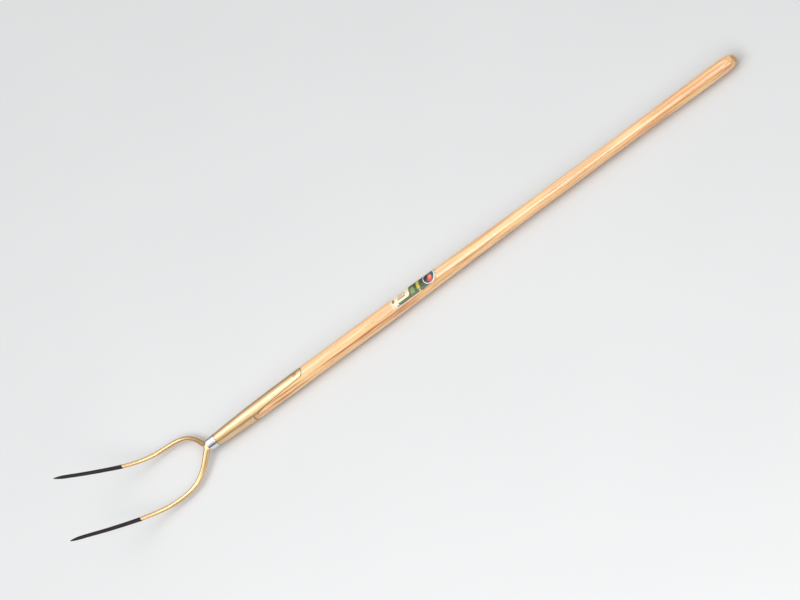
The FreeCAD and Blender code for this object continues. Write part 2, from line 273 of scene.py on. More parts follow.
# ---- the rolled sheet with its two straps ----------------------------------------
def strap_shell(g, off_out, off_in, xi0, na=26, ns=22, k1=44, k2=60, seam=0.0):
    """The socket's sheet grown by g in outline, from off_in to off_out off its outer face."""
    nb = NOTCH_XI + g
    half = pchip([(nb + 11.0, 14.45 + g)] + [(a, b + g) for a, b in STRAP_HALF])
    corner = pchip([(14.45 + g, nb + 11.0), (15.5 + g, nb + 4.2), (17.8 + g, nb + 1.0), (21.4 + g, nb)])
    end = STRAP_END_XI + g
    cap = pchip([(0.0, end), (3.0, end - 0.45), (5.85 + 0.7 * g, 263.8 + g * 0.6), (8.6 + g, 260.6 + g * 0.3),
                 (9.55 + g, 258.3), (9.9 + g, 256.0)])
    xe = nb + 11.0
    pe = math.asin(float(half(xe)) / float(socket_r(xe)))
    s = np.sin(np.linspace(-1, 1, na + 1) * math.pi / 2)
    s = 0.75 * s + 0.25 * np.linspace(-1, 1, na + 1)
    cols = []                                   # kind, value, angle from +Z towards +Y

    for back in (0, 1):
        base = math.pi * back
        for v in s[:-1]:
            cols.append(("strap", v, back))
        side = np.linspace(pe, math.pi - pe, ns + 1)
        if seam and back:                       # finer columns at the closed seam, on the right-hand side
            mid = math.pi / 2
            fine = np.array([-1.6, -0.8, -0.42, -0.24, -0.1, 0.0, 0.1, 0.24, 0.42, 0.8, 1.6]) / 16.0
            side = np.sort(np.concatenate([side[np.abs(side - mid) > 0.13], mid + fine]))
        for p in side[:-1]:
            cols.append(("side", p, back))
    outer, inner, rows = [], [], []

    def put(xi, psi, groove=0.0):
        r = float(socket_r(xi))
        for lst, rr in ((outer, r + off_out - groove), (inner, r + off_in)):
            lst.append((xx(xi), rr * math.sin(psi), ZA + rr * math.cos(psi)))
        return len(outer) - 1

    ends = []
    for kind, v, back in cols:
        if kind == "strap":
            ends.append(xe)
        else:
            xi = xe
            for _ in range(6):
                xi = float(corner(float(socket_r(xi)) * math.sin(v)))
            ends.append(min(xi, xe))
    for k in range(k1 + 1):
        row = []
        for (kind, v, back), e in zip(cols, ends):
            w = k / k1
            xi = xi0 + (e - xi0) * w
            if kind == "strap":
                # seen from behind, the same columns run the other way round
                psi = math.asin(v * math.sin(pe)) + math.pi * back
                groove = 0.0
            else:
                psi = v + math.pi * back
                groove = 0.0
                if seam and back:
                    a = (v - math.pi / 2) * float(socket_r(xi))
                    groove = seam * math.exp(-(a / 0.26) ** 2)
            row.append(put(xi, psi, groove))
        rows.append(row)
    faces = []
    m = len(cols)
    for a, b in zip(rows, rows[1:]):
        for j in range(m):
            jj = (j + 1) % m
            faces.append((a[j], b[j], b[jj], a[jj]))
    first = [i for i, c in enumerate(cols) if c[0] == "strap" and c[2] == 0][0]
    second = [i for i, c in enumerate(cols) if c[0] == "strap" and c[2] == 1][0]
    for start, back in ((first, 0), (second, 1)):
        idx = [(start + i) % m for i in range(na + 1)]
        prev = [rows[-1][i] for i in idx]
        for k in range(1, k2 + 1):
            w = k / k2
            w = 1 - (1 - w) ** 1.25             # closer rows near the rounded end
            cur = []
            for v in s:
                e = float(cap(abs(v) * (9.9 + g)))
                xi = xe + (e - xe) * w
                h = float(half(min(xi, 256.0)))
                psi = math.asin(max(-1, min(1, v * h / float(socket_r(xi))))) + math.pi * back
                cur.append(put(xi, psi))
            for j in range(na):
                faces.append((prev[j], cur[j], cur[j + 1], prev[j + 1]))
            prev = cur
    return thicken(outer, inner, faces)


def box_tool(name, sections):
    """A closed tube through square sections (xi, half side)."""
    verts, faces = [], []
    for xi, a in sections:
        verts += [(xx(xi), -a, ZA - a), (xx(xi), a, ZA - a), (xx(xi), a, ZA + a), (xx(xi), -a, ZA + a)]
    for k in range(len(sections) - 1):
        for i in range(4):
            j = (i + 1) % 4
            faces.append((4 * k + i, 4 * k + j, 4 * k + 4 + j, 4 * k + 4 + i))
    e = 4 * (len(sections) - 1)
    faces += [(3, 2, 1, 0), (e, e + 1, e + 2, e + 3)]
    return new_object(name, verts, faces)


def rod_tool(name, x, r, z0, z1, n=48):
    return lathe(name, [(z0, 0), (z0, r), (z1, r), (z1, 0)], n=n, centre=(x, 0))


# ---- the label's patch of surface ---------------------------------------------------
def label_shell(g, off_out, off_in, na=40, nk=64):
    h = LABEL_HALF_ARC + g
    a0, a1 = LABEL_XI0 - g, LABEL_XI1 + g
    v = np.sin(np.linspace(-1, 1, na + 1) * math.pi / 2)
    v = 0.7 * v + 0.3 * np.linspace(-1, 1, na + 1)
    v[0], v[-1] = -1, 1
    rm = float(wood_r(560.0))

    def inset(a, r):
        d = max(0.0, abs(a) - (h - r))
        return r - math.sqrt(max(0.0, r * r - d * d))
    outer, inner, rows = [], [], []
    for k in range(nk + 1):
        row = []
        for t in v:
            arc = t * h
            s0, s1 = a0 + inset(arc, LABEL_R0), a1 - inset(arc, LABEL_R1)
            xi = s0 + (s1 - s0) * k / nk
            r, psi = float(wood_r(xi)), arc / rm
            for lst, rr in ((outer, r + off_out), (inner, r + off_in)):
                lst.append((xx(xi), rr * math.sin(psi), ZA + rr * math.cos(psi)))
            row.append(len(outer) - 1)
        rows.append(row)
    faces = []
    for a, b in zip(rows, rows[1:]):
        for j in range(na):
            faces.append((a[j], b[j], b[j + 1], a[j + 1]))
    return thicken(outer, inner, faces)


# =============================================================================
# The pieces
# =============================================================================
def make_handle():
    prof = [(28.4, 0.0), (28.4, 4.0), (28.4, 8.5), (28.4, 10.6), (29.2, float(socket_r(29.2)) - 2.0)]
    for xi in np.arange(34.0, 112.5, 6.0):
        prof.append((xi, float(socket_r(xi)) - 1.95))
    prof.append((114.3, float(socket_r(114.3)) - 1.95))
    xs = np.concatenate([np.arange(114.5, 290.0, 2.2), np.arange(290.0, 1340.0, 3.0), np.arange(1340.0, 1362.0, 1.3)])
    for xi in xs:
        prof.append((xi, float(wood_r(xi))))
    pos, _, length = spline([(1340.0, 14.8), (1352.0, 14.44), (1362.0, 13.95), (1369.0, 12.75), (1374.4, 10.6),
                             (1377.1, 8.5), (1378.0, 6.6)])
    pts = pos(np.linspace(0, length, 60))
    for a, r in pts:
        if a > 1362.2:
            prof.append((min(a, 1378.0), r))
    prof += [(1378.0, 5.0), (1378.0, 3.4), (1378.0, 1.8), (1378.0, 0.0)]
    wood = lathe("handle_wood", prof, n=144, sharp=30.0)
    # the slow, slight unevenness of a shaved and sanded pole
    co = np.zeros(len(wood.data.vertices) * 3, np.float32)
    wood.data.vertices.foreach_get("co", co)
    co = co.reshape(-1, 3)
    x, y, z = co[:, 0] * 1000, co[:, 1] * 1000, co[:, 2] * 1000 - ZA
    q = np.arctan2(y, z)
    live = np.clip((X0 - x - 280) / 60, 0, 1) * np.clip((x + 836.5) / 8, 0, 1)
    away = 1 - np.clip(1 - np.abs(X0 - x - 561.0) / 90.0, 0, 1)     # level under the label
    live = live * np.clip(away * 2.2, 0, 1)
    d = live * (0.055 * np.sin(x / 61.0 + 2.0 * np.sin(q)) + 0.045 * np.sin(x / 37.0 + 1.3 + q * 2)
                + 0.035 * np.sin(x / 143.0 + 3 * q + 0.6))
    r = np.hypot(y, z)
    k = np.where(r > 1, (r + d) / np.maximum(r, 1e-6), 1.0)
    co[:, 1] = y * k / 1000
    co[:, 2] = (z * k + ZA) / 1000
    wood.data.vertices.foreach_set("co", co.ravel())
    wood.data.update()
    v, f = strap_shell(GAP, 3.0, -WALL - GAP, 108.0)
    seat = new_object("tool_seat", v, f)
    v, f = label_shell(0.15, 1.5, -LABEL_IN - GAP)
    bed = new_object("tool_bed", v, f)
    bore = box_tool("tool_bore", [(20.0, TANG_A0 + GAP), (TANG_XI1 + 2.0, TANG_A1 + GAP)])
    hole = rod_tool("tool_hole", xx(RIVET_XI), RIVET_R + GAP, -30.0, 70.0)
    cut(wood, seat, bed, bore, hole)
    unfold(wood)
    tidy(wood, 32.0)
    return wood


def make_socket():
    v, f = strap_shell(0.0, 0.0, -WALL, 27.8, seam=0.42)
    o = new_object("socket_sheet", v, f, 40.0)
    bevel(o, 0.32, 3, 50.0)
    cut(o, rod_tool("tool_hole", xx(RIVET_XI), RIVET_R + 0.12, -30.0, 70.0))
    tidy(o, 34.0)
    return o


def make_ring():
    a, b = RING_XI0, RING_XI1
    prof = [(a, RING_BORE + 0.25), (a, RING_R0 - 0.62)]
    for t in np.linspace(0, 90, 8)[1:-1]:
        q = math.radians(t)
        prof.append((a + 0.62 * (1 - math.cos(q)), RING_R0 - 0.62 + 0.62 * math.sin(q)))
    prof += [(a + 0.62, RING_R0), (a + 2.0, RING_R0 + 0.05), (a + 6.0, RING_R0 + 0.17), (a + 12.0, RING_R0 + 0.36),
             (b - 1.6, RING_R1 - 0.03), (b - 0.45, RING_R1)]
    for t in np.linspace(0, 90, 6)[1:-1]:
        q = math.radians(t)
        prof.append((b - 0.45 + 0.45 * math.sin(q), RING_R1 - 0.45 + 0.45 * math.cos(q)))
    prof += [(b, RING_R1 - 0.45), (b, RING_BORE + 0.2), (b - 0.2, RING_BORE), (a + 0.25, RING_BORE)]
    return lathe("ferrule_band", prof, n=192, sharp=50.0, closed=True)


def make_rivet():
    x = xx(RIVET_XI)
    rs = float(socket_r(RIVET_XI))
    top = ZA + rs + 0.12 + RIVET_HEAD_H
    prof = [(ZA - rs + 0.05, 0.0), (ZA - rs + 0.05, 1.1), (ZA - rs + 0.06, RIVET_R - 0.55),
            (ZA - rs + 0.16, RIVET_R - 0.22), (ZA - rs + 0.4, RIVET_R - 0.02), (ZA - rs + 0.8, RIVET_R)]
    for z in np.linspace(ZA - rs + 3.0, ZA + rs - 3.0, 9):
        prof.append((z, RIVET_R))
    prof.append((ZA + rs - 0.6, RIVET_R))
    under = ZA + rs + 0.02
    prof += [(under, RIVET_R + 0.05), (under, 3.3), (under, RIVET_HEAD_R - 0.12)]
    rim = under + 0.3
    prof.append((under + 0.1, RIVET_HEAD_R))
    dome = top - rim
    rad = (RIVET_HEAD_R ** 2 + dome ** 2) / (2 * dome)
    for t in np.linspace(1.0, 0.0, 16):
        r = RIVET_HEAD_R * t
        prof.append((top - rad + math.sqrt(rad * rad - r * r), r))
    o = lathe("rivet_pin", prof, n=64, centre=(x, 0), sharp=40.0)
    # the head is pressed down to the round of the strap
    for v in o.data.vertices:
        if v.co.z * 1000 > ZA + rs - 0.1:
            y = v.co.y * 1000
            drop = rs - math.sqrt(rs * rs - y * y)
            w = min(1.0, max(0.0, (top - v.co.z * 1000) / (top - under)))
            v.co.z -= drop * w * 0.001
    o.data.update()
    return o


def size_at(s):
    t = np.array(TINE_SIZE, float)
    return [np.interp(s, t[:, 0], t[:, i]) for i in (1, 2, 3)]


def make_head():
    pos, tan, length = spline(TINE)
    k = length / 377.6

    def frames(s):
        p, t = pos(s), tan(s)
        n1 = np.array([0, 0, 1.0]) - t * t[:, 2:3]
        n1 /= np.linalg.norm(n1, axis=1)[:, None]
        return p, t, n1, np.cross(t, n1)

    # the two tines as swept solids
    st = np.concatenate([np.arange(0, 350, 2.0), np.arange(350, 377.0, 0.9), [377.4]]) * k
    p, t, n1, n2 = frames(st)
    a, b, sq = size_at(st / k)
    n = 56
    q = 2 * math.pi * np.arange(n) / n
    left, faces = [], []
    for i in range(len(st)):
        r = (np.abs(np.cos(q)) ** sq[i] + np.abs(np.sin(q)) ** sq[i]) ** (-1 / sq[i])
        ring = p[i] + np.outer(a[i] * r * np.cos(q), n2[i]) + np.outer(b[i] * r * np.sin(q), n1[i])
        left += ring.tolist()
    for i in range(len(st) - 1):
        for j in range(n):
            jj = (j + 1) % n
            faces.append((i * n + j, i * n + jj, (i + 1) * n + jj, (i + 1) * n + j))
    faces.append(tuple(range(n))[::-1])
    faces.append(tuple((len(st) - 1) * n + j for j in range(n)))
    left = [(X0 + c[0], c[1], ZA + c[2]) for c in left]
    right = [(c[0], -c[1], c[2]) for c in left]
    parts = [new_object("tool_left", left, faces), new_object("tool_right", right, faces)]
    # neck, shoulder and tang
    hub = [(-0.4 + 7.9 * math.sin(u), 7.9 * math.cos(u)) for u in np.linspace(-math.pi / 2, math.pi / 2, 33)]
    hub[0], hub[-1] = (-8.3, 0.0), (7.5, 0.0)
    parts.append(lathe("tool_hub", hub, n=64))
    for v in parts[-1].data.vertices:
        v.co.z -= 0.0003
    parts.append(lathe("tool_shank", [(-0.4, 0), (-0.4, 7.9), (7.6, 7.9), (7.6, 0)], n=64))
    parts.append(lathe("tool_bolster", [(7.0, 0), (7.0, BOLSTER_R - 0.8), (7.8, BOLSTER_R), (28.0, BOLSTER_R), (28.0, 0)],
                       n=72))
    parts.append(box_tool("tool_tang", [(27.0, TANG_A0), (TANG_XI1, TANG_A1)]))
    bm = bmesh.new()
    for o in parts:
        bm.from_mesh(o.data)
        bpy.data.objects.remove(o)
    me = bpy.data.meshes.new("head_steel")
    bm.to_mesh(me)
    bm.free()
    head = bpy.data.objects.new("head_steel", me)
    bpy.context.scene.collection.objects.link(head)
    m = head.modifiers.new("skin", "REMESH")
    m.mode, m.voxel_size, m.adaptivity, m.use_smooth_shade = "VOXEL", 0.00062, 0.0, True
    bake(head)

    # soften the forged joint of the tines, then set the tines back to their true round
    me = head.data
    nv = len(me.vertices)
    co = np.zeros(nv * 3, np.float32)
    me.vertices.foreach_get("co", co)
    co = co.reshape(-1, 3).astype(float) * 1000
    ed = np.zeros(len(me.edges) * 2, np.int32)
    me.edges.foreach_get("vertices", ed)
    ed = ed.reshape(-1, 2)
    deg = np.bincount(ed.ravel(), minlength=nv).astype(float)[:, None]

    def ease(v, lo, hi):
        v = np.clip((v - lo) / (hi - lo), 0, 1)
        return v * v * (3 - 2 * v)
    fx = co[:, 0] - X0
    zone = ease(fx, -5.8, -2.5) * (1 - ease(fx, 24.0, 44.0))
    for it in range(46):
        s = np.zeros_like(co)
        for c in range(3):
            s[:, c] = (np.bincount(ed[:, 0], co[ed[:, 1], c], nv) + np.bincount(ed[:, 1], co[ed[:, 0], c], nv))
        w = zone if it >= 4 else np.maximum(zone, 0.6)
        co += (s / deg - co) * 0.5 * w[:, None]
    fx = co[:, 0] - X0
    tip = np.nonzero(fx > 14.0)[0]
    qs = np.arange(0, length, 0.5)
    p, t, n1, n2 = frames(qs)
    local = np.stack([fx[tip], np.abs(co[tip, 1]), co[tip, 2] - ZA], 1)
    for s0 in range(0, len(tip), 4000):
        part = local[s0:s0 + 4000]
        near = np.argmin(((part[:, None, :] - p[None]) ** 2).sum(2), axis=1)
        along = np.clip(qs[near] + ((part - p[near]) * t[near]).sum(1), 0, length)
        pp, tt, m1, m2 = frames(along)
        aa, bb, ss = size_at(along / k)
        d = part - pp
        c2, c1 = (d * m2).sum(1), (d * m1).sum(1)
        ang = np.arctan2(c1 / bb, c2 / aa)
        rr = (np.abs(np.cos(ang)) ** ss + np.abs(np.sin(ang)) ** ss) ** (-1 / ss)
        goal = pp + m2 * (aa * rr * np.cos(ang))[:, None] + m1 * (bb * rr * np.sin(ang))[:, None]
        w = ease(along, 44.0, 66.0) * (1 - ease(along, length - 1.6, length - 0.7))
        local[s0:s0 + 4000] = part + (goal - part) * w[:, None]
    side = np.sign(co[tip, 1])
    co[tip] = np.stack([local[:, 0] + X0, local[:, 1] * side, local[:, 2] + ZA], 1)
    me.vertices.foreach_set("co", (co / 1000).astype(np.float32).ravel())
    me.update()
    me.shade_smooth()
    me.set_sharp_from_angle(angle=math.radians(55))
    return head


def make_label():
    v, f = label_shell(0.0, LABEL_OUT, -LABEL_IN)
    o = new_object("label_film", v, f, 40.0)
    return o


# =============================================================================
# Materials: small helpers, then one procedural material for each finish
# =============================================================================
class Num:
    """A number in a node tree, so that a pattern can be written as arithmetic."""

    def __init__(self, g, s):
        self.g, self.s = g, s

    def op(self, name, b=None, c=None, clamp=False):
        n = self.g.node("ShaderNodeMath", operation=name)
        n.use_clamp = clamp
        for i, v in enumerate((self, b, c)):
            if v is None:
                continue
            if isinstance(v, Num):
                self.g.link(v.s, n.inputs[i])
            else:
                n.inputs[i].default_value = v
        return Num(self.g, n.outputs[0])

    def __add__(self, b):
        return self.op("ADD", b)

    def __sub__(self, b):
        return self.op("SUBTRACT", b)

    def __mul__(self, b):
        return self.op("MULTIPLY", b)

    def __truediv__(self, b):
        return self.op("DIVIDE", b)

    def rsub(self, a):
        return (self * -1.0) + a

    def clamp(self):
        return self.op("ADD", 0.0, clamp=True)

    def step(self, lo, hi, a=0.0, b=1.0):
        n = self.g.node("ShaderNodeMapRange", interpolation_type="SMOOTHSTEP")
        self.g.link(self.s, n.inputs["Value"])
        for key, v in (("From Min", lo), ("From Max", hi), ("To Min", a), ("To Max", b)):
            n.inputs[key].default_value = v
        return Num(self.g, n.outputs["Result"])

    def lin(self, lo, hi, a=0.0, b=1.0):
        n = self.g.node("ShaderNodeMapRange", interpolation_type="LINEAR")
        self.g.link(self.s, n.inputs["Value"])
        for key, v in (("From Min", lo), ("From Max", hi), ("To Min", a), ("To Max", b)):
            n.inputs[key].default_value = v
        return Num(self.g, n.outputs["Result"])


class Graph:
    def __init__(self, name):
        self.mat = bpy.data.materials.new(name)
        self.mat.use_nodes = True
        self.nt = self.mat.node_tree
        self.nt.nodes.clear()
        self.out = self.node("ShaderNodeOutputMaterial")
        self.bsdf = self.node("ShaderNodeBsdfPrincipled")
        self.link(self.bsdf.outputs["BSDF"], self.out.inputs["Surface"])
        self.coord = self.node("ShaderNodeTexCoord").outputs["Object"]
        sep = self.node("ShaderNodeSeparateXYZ")
        self.link(self.coord, sep.inputs[0])
        self.x, self.y, self.z = (Num(self, sep.outputs[i]) for i in range(3))

    def node(self, kind, **props):
        n = self.nt.nodes.new(kind)
        for k, v in props.items():
            setattr(n, k, v)
        return n

    def link(self, a, b):
        self.nt.links.new(a, b)

    def set(self, **values):
        for k, v in values.items():
            s = self.bsdf.inputs[k.replace("_", " ")]
            if isinstance(v, Num):
                self.link(v.s, s)
            elif hasattr(v, "is_linked") or hasattr(v, "links"):
                self.link(v, s)
            else:
                s.default_value = v if not isinstance(v, tuple) or len(v) == 4 else (*v, 1.0)

    def vec(self, x, y, z):
        n = self.node("ShaderNodeCombineXYZ")
        for i, v in enumerate((x, y, z)):
            if isinstance(v, Num):
                self.link(v.s, n.inputs[i])
            else:
                n.inputs[i].default_value = v
        return n.outputs[0]

    def noise(self, vec, scale, detail=2.0, rough=0.5, dist=0.0):
        n = self.node("ShaderNodeTexNoise")
        self.link(vec, n.inputs["Vector"])
        n.inputs["Scale"].default_value = scale
        n.inputs["Detail"].default_value = detail
        n.inputs["Roughness"].default_value = rough
        n.inputs["Distortion"].default_value = dist
        return Num(self, n.outputs["Fac"])

    def cells(self, vec, scale, rand=1.0, feature="F1"):
        n = self.node("ShaderNodeTexVoronoi", feature=feature)
        self.link(vec, n.inputs["Vector"])
        n.inputs["Scale"].default_value = scale
        n.inputs["Randomness"].default_value = rand
        return Num(self, n.outputs["Distance"])

    def ramp(self, fac, stops):
        n = self.node("ShaderNodeValToRGB")
        self.link(fac.s, n.inputs[0])
        el = n.color_ramp.elements
        while len(el) > 1:
            el.remove(el[-1])
        el[0].position, el[0].color = stops[0][0], (*stops[0][1], 1)
        for pos, col in stops[1:]:
            e = el.new(pos)
            e.color = (*col, 1)
        return n.outputs[0]

    def mix(self, fac, a, b, mode="MIX"):
        n = self.node("ShaderNodeMix", data_type="RGBA", blend_type=mode)
        n.clamp_factor = True
        ins = [i for i in n.inputs if i.enabled]
        for sock, v in zip((ins[0], ins[1], ins[2]), (fac, a, b)):
            if isinstance(v, Num):
                self.link(v.s, sock)
            elif isinstance(v, (tuple, list)):
                sock.default_value = (*v[:3], 1.0)
            elif isinstance(v, (int, float)):
                sock.default_value = v
            else:
                self.link(v, sock)
        return [o for o in n.outputs if o.enabled][0]

    def bump(self, height, strength=0.3, distance=0.0002, normal=None):
        n = self.node("ShaderNodeBump")
        n.inputs["Strength"].default_value = strength
        n.inputs["Distance"].default_value = distance
        self.link(height.s, n.inputs["Height"])
        if normal is not None:
            self.link(normal, n.inputs["Normal"])
        return n.outputs[0]

    def edges(self, radius=0.0006):
        """1 on edges, 0 on plain faces."""
        bev = self.node("ShaderNodeBevel", samples=6)
        bev.inputs["Radius"].default_value = radius
        geo = self.node("ShaderNodeNewGeometry")
        dot = self.node("ShaderNodeVectorMath", operation="DOT_PRODUCT")
        self.link(bev.outputs[0], dot.inputs[0])
        self.link(geo.outputs["Normal"], dot.inputs[1])
        return Num(self, dot.outputs["Value"]).lin(0.995, 0.90, 0.0, 1.0)


def srgb(r, g, b):
    def f(c):
        c = c / 255.0
        return c / 12.92 if c <= 0.04045 else ((c + 0.055) / 1.055) ** 2.4
    return (f(r), f(g), f(b))


def ash(g):
    """The wood: growth rings round a pith outside the pole, which runs a little across it, pores, rays and warmer
    streaks. Returns colour, height and a measure of the porous wood."""
    x, y, z = g.x, g.y, g.z - ZA * 0.001
    slow = g.noise(g.vec(x * 1.0, y * 9.0, z * 9.0), 3.0, 3.0, 0.55)
    wav = g.noise(g.vec(x * 2.2, y * 22.0, z * 22.0), 2.0, 2.0, 0.5)
    yy = y + 0.030 + (x * 0.0085) + (slow - 0.5) * 0.009
    zz = z + 0.055 - (x * 0.0140) + (wav - 0.5) * 0.004
    dist = (yy * yy + zz * zz).op("SQRT")
    ring = dist / 0.0036
    saw = ring.op("FRACT")
    # porous early wood at the start of each ring, fading into dense late wood
    early = saw.step(0.0, 0.10) * saw.step(0.62, 0.16)
    number = ring.op("FLOOR")
    vary = g.noise(g.vec(number * 0.37, x * 1.3, 0.0), 1.0, 1.0)
    early = early * vary.lin(0.32, 0.68, 0.25, 1.15)
    fibre = g.noise(g.vec(x * 9.0, y * 420.0, z * 420.0), 1.0, 4.0, 0.65)
    fine = g.noise(g.vec(x * 6.5, y * 270.0, z * 270.0), 1.0, 3.0, 0.62)
    thin = g.noise(g.vec(x * 9.0 + 3.0, y * 330.0, z * 330.0), 1.0, 2.0, 0.6)
    pores = g.noise(g.vec(x * 75.0, y * 2300.0, z * 2300.0), 1.0, 2.0, 0.6).step(0.56, 0.70)
    flame = g.noise(g.vec(x * 2.6, y * 44.0, z * 44.0), 1.0, 3.0, 0.6)
    streak = g.noise(g.vec(x * 4.5, y * 120.0, z * 120.0), 1.0, 3.0, 0.6)
    fleck = g.noise(g.vec(x * 160.0, y * 300.0, z * 300.0), 1.0, 2.0, 0.5).step(0.60, 0.74)
    col = g.mix(flame.step(0.30, 0.70), WOOD_PALE, WOOD_WARM)
    col = g.mix(streak.step(0.50, 0.74) * 0.55, col, WOOD_DEEP)
    col = g.mix(fine.step(0.50, 0.62) * flame.lin(0.3, 0.7, 0.45, 0.95), col, WOOD_ROSE)
    col = g.mix(thin.step(0.55, 0.66) * 0.5, col, WOOD_LIGHT)
    # redder heart streaks low on the left-hand side, strongest towards the head
    heart = fine.step(0.47, 0.60) * (y - z * 0.55).step(0.000, 0.009) * flame.step(0.34, 0.50)
    heart = heart * x.lin(-0.30, 0.25, 0.35, 1.0)
    col = g.mix(heart * 0.80, col, WOOD_RED)
    col = g.mix(early * 0.34, col, WOOD_RING)
    col = g.mix((fibre - 0.5).op("ABSOLUTE") * 0.8, col, WOOD_PALE)
    col = g.mix(pores * (early * 0.9 + 0.10), col, WOOD_PORE)
    col = g.mix(fleck * 0.16, col, WOOD_PALE)
    height = fibre * 0.5 - pores * (early + 0.12) * 0.8 - early * 0.25
    return col, height, early, slow


WOOD_PALE = (0.93, 0.625, 0.320)
WOOD_LIGHT = (0.96, 0.720, 0.440)
WOOD_WARM = (0.90, 0.520, 0.225)
WOOD_DEEP = (0.78, 0.395, 0.145)
WOOD_ROSE = (0.74, 0.315, 0.135)
WOOD_RED = (0.34, 0.110, 0.050)
WOOD_RING = (0.62, 0.315, 0.125)
WOOD_PORE = (0.30, 0.140, 0.055)


def strap_line(g):
    """Distance in millimetres outwards from the outline of the straps, as three pieces with their masks."""
    xi = (g.x * -1000.0) + X0
    ay = g.y.op("ABSOLUTE") * 1000.0
    q = (xi - 209.5) / 46.5
    low = (xi * -1.0 + 163.0).op("MAXIMUM", 0.0)
    half = (xi - 163.0) * -0.0323 + 12.9 + (q * q * -1.0 + 1.0) * 0.12 + low * 0.055
    side = (ay - half) * 1.35
    notch = (xi - (NOTCH_XI + 1.3) - (((ay * -1.0 + 17.6).op("MAXIMUM", 0.0) / 3.15).op("POWER", 2.8) * 9.9)) * 0.55
    u, v = ay / 9.9, (xi - 256.0) / 10.0
    end = ((u * u + v * v).op("SQRT") - 1.0) * 9.9
    turn = NOTCH_XI + 10.5
    return ((side, xi.step(turn - 1.0, turn + 1.0) * xi.step(256.6, 255.4)),
            (notch, xi.step(turn + 1.0, turn - 1.0) * xi.step(118.0, 122.0)),
            (end, xi.step(255.4, 256.6)))


def line_mask(g, lo0, lo1, hi0, hi1):
    """1 where the distance lies between lo1 and hi0, easing to 0 at lo0 and hi1."""
    m = None
    for d, on in strap_line(g):
        k = d.step(lo0, lo1) * d.step(hi1, hi0) * on
        m = k if m is None else m + k
    return m.clamp()


def mat_wood():
    g = Graph("varnished_ash")
    col, height, early, slow = ash(g)
    # painted shade: a dark line on the wood in the crease along the straps' outline
    seam = line_mask(g, -0.9, -0.3, 0.75, 1.5)
    col = g.mix(seam * 0.80, col, (0.16, 0.085, 0.035))
    # end grain of the butt is darker and drier
    geo = g.node("ShaderNodeNewGeometry")
    sep = g.node("ShaderNodeSeparateXYZ")
    g.link(geo.outputs["Normal"], sep.inputs[0])
    end = (Num(g, sep.outputs[0]) * -1.0).step(0.55, 0.98) * g.x.step(-0.815, -0.835)
    rays = g.noise(g.vec(0.0, g.y * 900.0, g.z * 900.0), 1.0, 3.0, 0.6)
    col = g.mix(end * rays.lin(0.3, 0.7, 0.25, 0.62), col, (0.52, 0.30, 0.13))
    # handling marks near the grip
    dirt = g.noise(g.vec(g.x * 14.0, g.y * 60.0, g.z * 60.0), 1.0, 4.0, 0.6).step(0.62, 0.80)
    col = g.mix(dirt * 0.14, col, (0.46, 0.29, 0.15))
    peel = g.noise(g.vec(g.x * 60.0, g.y * 160.0, g.z * 160.0), 1.0, 3.0, 0.5)
    n = g.bump(height, 0.35, 0.00012)
    n = g.bump(peel, 0.25, 0.00016, n)
    rough = peel.lin(0.3, 0.7, 0.26, 0.36) + early * 0.05 + end * 0.22
    coat = (end * -0.7 + 0.85) - dirt * 0.3
    g.set(Base_Color=col, Roughness=rough, Normal=n, Coat_Weight=coat, Coat_Roughness=0.14, Coat_IOR=1.62)
    g.set(Specular_IOR_Level=0.2)
    varnish = g.bump(peel, 0.10, 0.00018)
    g.link(varnish, g.bsdf.inputs["Coat Normal"])
    return g.mat


def lacquered(g, base, deep, pale, grain_vec, wear):
    """Pale gold lacquer over bright steel. Returns colour, roughness and height."""
    cloud = g.noise(g.vec(g.x * 22.0, g.y * 40.0, g.z * 40.0), 1.0, 3.0, 0.55)
    spots = g.noise(g.vec(g.x * 260.0, g.y * 260.0, g.z * 260.0), 1.0, 2.0, 0.6)
    draw = g.noise(grain_vec, 1.0, 3.0, 0.6)
    col = g.mix(cloud.step(0.32, 0.70), base, deep)
    col = g.mix(draw.step(0.50, 0.80) * 0.35, col, pale)
    col = g.mix(spots.step(0.62, 0.76) * 0.22, col, deep)
    col = g.mix(wear * 0.55, col, pale)
    rough = cloud.lin(0.3, 0.7, 0.30, 0.38) + draw.lin(0.3, 0.7, -0.03, 0.05)
    height = draw * 0.5 + cloud * 1.1 + spots * 0.10
    return col, rough, height


def mat_socket():
    g = Graph("gold_lacquer")
    wear = g.edges(0.0007)
    col, rough, height = lacquered(g, GOLD, GOLD_DEEP, GOLD_PALE,
                                   g.vec(g.x * 22.0, g.y * 700.0, g.z * 700.0), wear)
    # painted shade: the gold is darkened at its end next to the ring and along the straps' cut outline
    near = g.x.step(0.5085, 0.5125)
    col = g.mix(near * 0.45, col, GOLD_PAINTED_SHADE)
    rim = line_mask(g, -0.85, -0.45, 3.0, 4.0)
    col = g.mix(rim * 0.70, col, GOLD_PAINTED_SHADE)
    n = g.bump(height, 0.30, 0.00016)
    g.set(Base_Color=col, Roughness=rough, Normal=n, Metallic=0.85, Coat_Weight=1.0, Coat_Roughness=0.12,
          Coat_IOR=1.95)
    return g.mat


